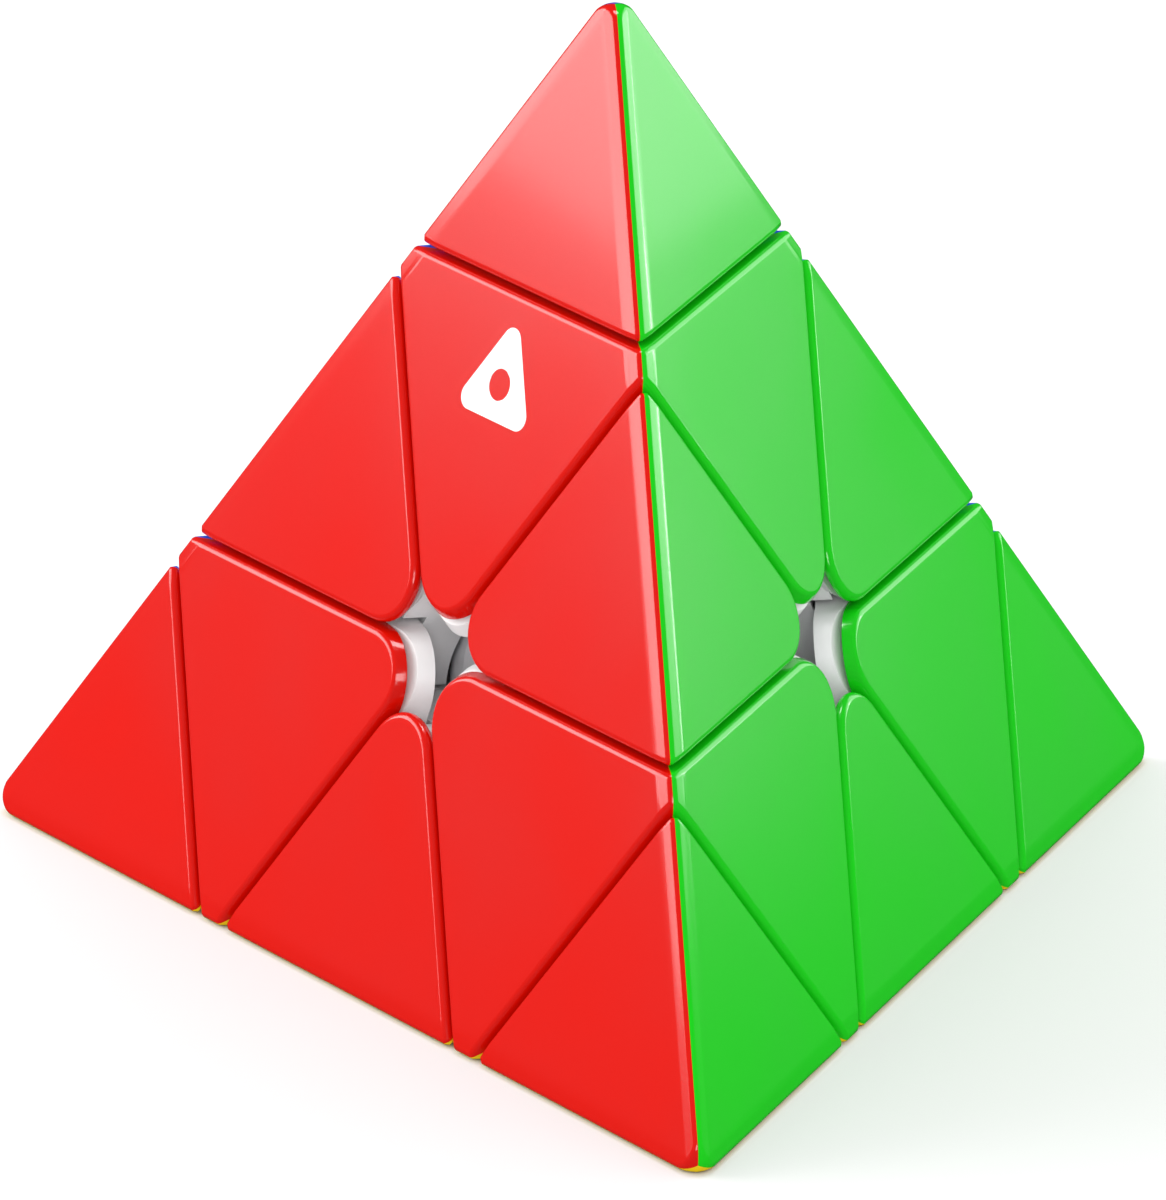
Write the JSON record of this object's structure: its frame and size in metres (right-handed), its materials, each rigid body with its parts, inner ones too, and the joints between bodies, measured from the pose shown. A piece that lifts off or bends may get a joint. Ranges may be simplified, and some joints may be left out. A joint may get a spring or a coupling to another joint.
{
  "type": "pyramid twisty puzzle",
  "caption": "Tetrahedral twisty puzzle: corner layers, tips and edge pieces turn about axes through a central core, with a coloured cap on each facet.",
  "frame": {"origin": "the pivot centre, where the turning axes meet, which is the tetrahedron's centroid", "axes": "+Z to the top corner, -Y towards the front corner, +X to the right; the base face is level, below the origin"},
  "size_m": [0.0956, 0.0831, 0.0784],
  "materials": {
    "red_plastic": "satin gloss moulded ABS, red",
    "green_plastic": "satin gloss moulded ABS, bright green",
    "blue_plastic": "satin gloss moulded ABS, blue",
    "yellow_plastic": "satin gloss moulded ABS, yellow",
    "frame_plastic": "satin white moulded ABS",
    "core_plastic": "fine matt pale grey nylon",
    "brass": "turned brass",
    "steel": "zinc plated steel",
    "spring_steel": "drawn spring wire"
  },
  "bodies": {
    "core": {"core_ball": "core_plastic", "core_inserts": "brass", "axis_screws": "steel", "axis_washers": "steel", "axis_springs": "spring_steel"},
    "top_axial": {"top_axial_frame": "frame_plastic", "top_tip_pivot": "core_plastic", "top_axial_blue_cap": "blue_plastic", "top_axial_green_cap": "green_plastic", "top_axial_red_cap": "red_plastic"},
    "top_tip": {"top_tip_frame": "frame_plastic", "top_tip_blue_cap": "blue_plastic", "top_tip_green_cap": "green_plastic", "top_tip_red_cap": "red_plastic"},
    "front_axial": {"front_axial_frame": "frame_plastic", "front_tip_pivot": "core_plastic", "front_axial_yellow_cap": "yellow_plastic", "front_axial_green_cap": "green_plastic", "front_axial_red_cap": "red_plastic"},
    "front_tip": {"front_tip_frame": "frame_plastic", "front_tip_yellow_cap": "yellow_plastic", "front_tip_green_cap": "green_plastic", "front_tip_red_cap": "red_plastic"},
    "left_axial": {"left_axial_frame": "frame_plastic", "left_tip_pivot": "core_plastic", "left_axial_yellow_cap": "yellow_plastic", "left_axial_blue_cap": "blue_plastic", "left_axial_red_cap": "red_plastic"},
    "left_tip": {"left_tip_frame": "frame_plastic", "left_tip_yellow_cap": "yellow_plastic", "left_tip_blue_cap": "blue_plastic", "left_tip_red_cap": "red_plastic"},
    "right_axial": {"right_axial_frame": "frame_plastic", "right_tip_pivot": "core_plastic", "right_axial_yellow_cap": "yellow_plastic", "right_axial_blue_cap": "blue_plastic", "right_axial_green_cap": "green_plastic"},
    "right_tip": {"right_tip_frame": "frame_plastic", "right_tip_yellow_cap": "yellow_plastic", "right_tip_blue_cap": "blue_plastic", "right_tip_green_cap": "green_plastic"},
    "top_front_edge": {"top_front_edge_frame": "frame_plastic", "top_front_edge_green_cap": "green_plastic", "top_front_edge_red_cap": "red_plastic"},
    "top_left_edge": {"top_left_edge_frame": "frame_plastic", "top_left_edge_blue_cap": "blue_plastic", "top_left_edge_red_cap": "red_plastic"},
    "top_right_edge": {"top_right_edge_frame": "frame_plastic", "top_right_edge_blue_cap": "blue_plastic", "top_right_edge_green_cap": "green_plastic"},
    "front_left_edge": {"front_left_edge_frame": "frame_plastic", "front_left_edge_yellow_cap": "yellow_plastic", "front_left_edge_red_cap": "red_plastic"},
    "front_right_edge": {"front_right_edge_frame": "frame_plastic", "front_right_edge_yellow_cap": "yellow_plastic", "front_right_edge_green_cap": "green_plastic"},
    "left_right_edge": {"left_right_edge_frame": "frame_plastic", "left_right_edge_yellow_cap": "yellow_plastic", "left_right_edge_blue_cap": "blue_plastic"}
  },
  "joints": [
    {"name": "top_layer_turn", "type": "hinge", "parent": "core", "child": "top_axial", "pos_m": [0, 0, 0], "axis": [0, 0, 1], "range_deg": [-240, 120]},
    {"name": "front_layer_turn", "type": "hinge", "parent": "core", "child": "front_axial", "pos_m": [0, 0, 0], "axis": [0, -0.9428, -0.3333], "range_deg": [-240, 120]},
    {"name": "left_layer_turn", "type": "hinge", "parent": "core", "child": "left_axial", "pos_m": [0, 0, 0], "axis": [-0.8165, 0.4714, -0.3333], "range_deg": [-240, 120]},
    {"name": "right_layer_turn", "type": "hinge", "parent": "core", "child": "right_axial", "pos_m": [0, 0, 0], "axis": [0.8165, 0.4714, -0.3333], "range_deg": [-240, 120]},
    {"name": "top_tip_turn", "type": "hinge", "parent": "top_axial", "child": "top_tip", "pos_m": [0, 0, 0], "axis": [0, 0, 1], "continuous": true},
    {"name": "front_tip_turn", "type": "hinge", "parent": "front_axial", "child": "front_tip", "pos_m": [0, 0, 0], "axis": [0, -0.9428, -0.3333], "continuous": true},
    {"name": "left_tip_turn", "type": "hinge", "parent": "left_axial", "child": "left_tip", "pos_m": [0, 0, 0], "axis": [-0.8165, 0.4714, -0.3333], "continuous": true},
    {"name": "right_tip_turn", "type": "hinge", "parent": "right_axial", "child": "right_tip", "pos_m": [0, 0, 0], "axis": [0.8165, 0.4714, -0.3333], "continuous": true},
    {"name": "top_front_edge_turn", "type": "hinge", "parent": "top_axial", "child": "top_front_edge", "pos_m": [0, 0, 0], "axis": [0, -0.9428, -0.3333], "range_deg": [-240, 120]},
    {"name": "top_left_edge_turn", "type": "hinge", "parent": "top_axial", "child": "top_left_edge", "pos_m": [0, 0, 0], "axis": [-0.8165, 0.4714, -0.3333], "range_deg": [-240, 120]},
    {"name": "top_right_edge_turn", "type": "hinge", "parent": "top_axial", "child": "top_right_edge", "pos_m": [0, 0, 0], "axis": [0.8165, 0.4714, -0.3333], "range_deg": [-240, 120]},
    {"name": "front_left_edge_turn", "type": "hinge", "parent": "left_axial", "child": "front_left_edge", "pos_m": [0, 0, 0], "axis": [0, -0.9428, -0.3333], "range_deg": [-240, 120]},
    {"name": "front_right_edge_turn", "type": "hinge", "parent": "front_axial", "child": "front_right_edge", "pos_m": [0, 0, 0], "axis": [0.8165, 0.4714, -0.3333], "range_deg": [-240, 120]},
    {"name": "left_right_edge_turn", "type": "hinge", "parent": "right_axial", "child": "left_right_edge", "pos_m": [0, 0, 0], "axis": [-0.8165, 0.4714, -0.3333], "range_deg": [-240, 120]}
  ],
  "couplings": [
    {"joint": "top_front_edge_turn", "follows": "front_layer_turn", "ratio": 1},
    {"joint": "top_left_edge_turn", "follows": "left_layer_turn", "ratio": 1},
    {"joint": "top_right_edge_turn", "follows": "right_layer_turn", "ratio": 1},
    {"joint": "front_left_edge_turn", "follows": "front_layer_turn", "ratio": 1},
    {"joint": "front_right_edge_turn", "follows": "right_layer_turn", "ratio": 1},
    {"joint": "left_right_edge_turn", "follows": "left_layer_turn", "ratio": 1}
  ]
}
